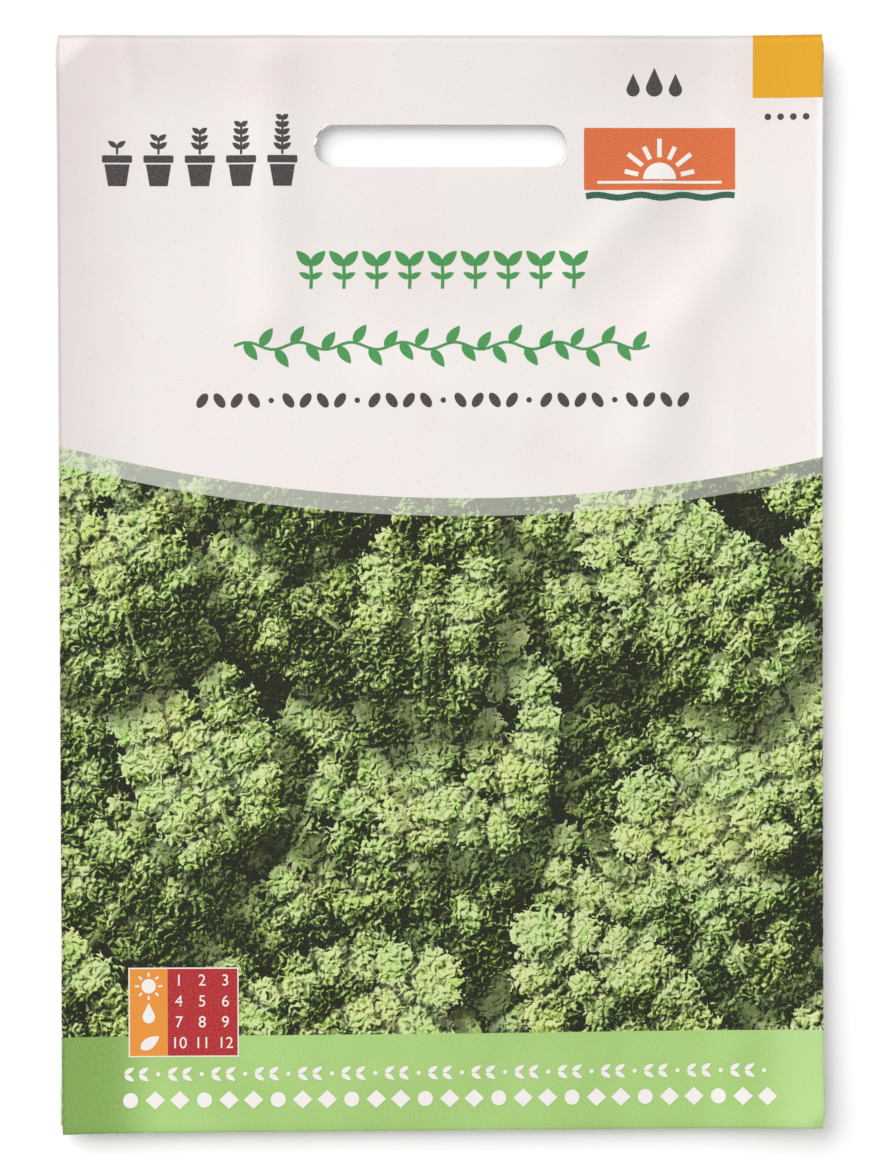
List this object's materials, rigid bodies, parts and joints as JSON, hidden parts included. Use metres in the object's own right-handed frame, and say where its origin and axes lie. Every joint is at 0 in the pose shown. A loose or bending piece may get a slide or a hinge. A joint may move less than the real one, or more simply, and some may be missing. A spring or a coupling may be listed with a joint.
{
  "type": "seed packet",
  "caption": "Flat sealed paper envelope folded from one sheet, with a hanging slot through its header, holding a patch of round kale seeds.",
  "frame": {"origin": "on the surface that the packet lies on, under the middle of its box", "axes": "+Y along the packet's height, towards the hanging slot; +X across its width, to the right as its front is read; +Z out of the printed front"},
  "size_m": [0.1154, 0.1652, 0.0029],
  "materials": {
    "printed_paper": "matte",
    "dried_glue": "satin",
    "seed_coat": "matte"
  },
  "bodies": {
    "root": {"paper_envelope": "printed_paper", "side_seam_glue": "dried_glue", "bottom_flap_glue": "dried_glue", "top_flap_glue": "dried_glue", "header_seal_glue": "dried_glue", "kale_seeds": "seed_coat"}
  },
  "joints": []
}
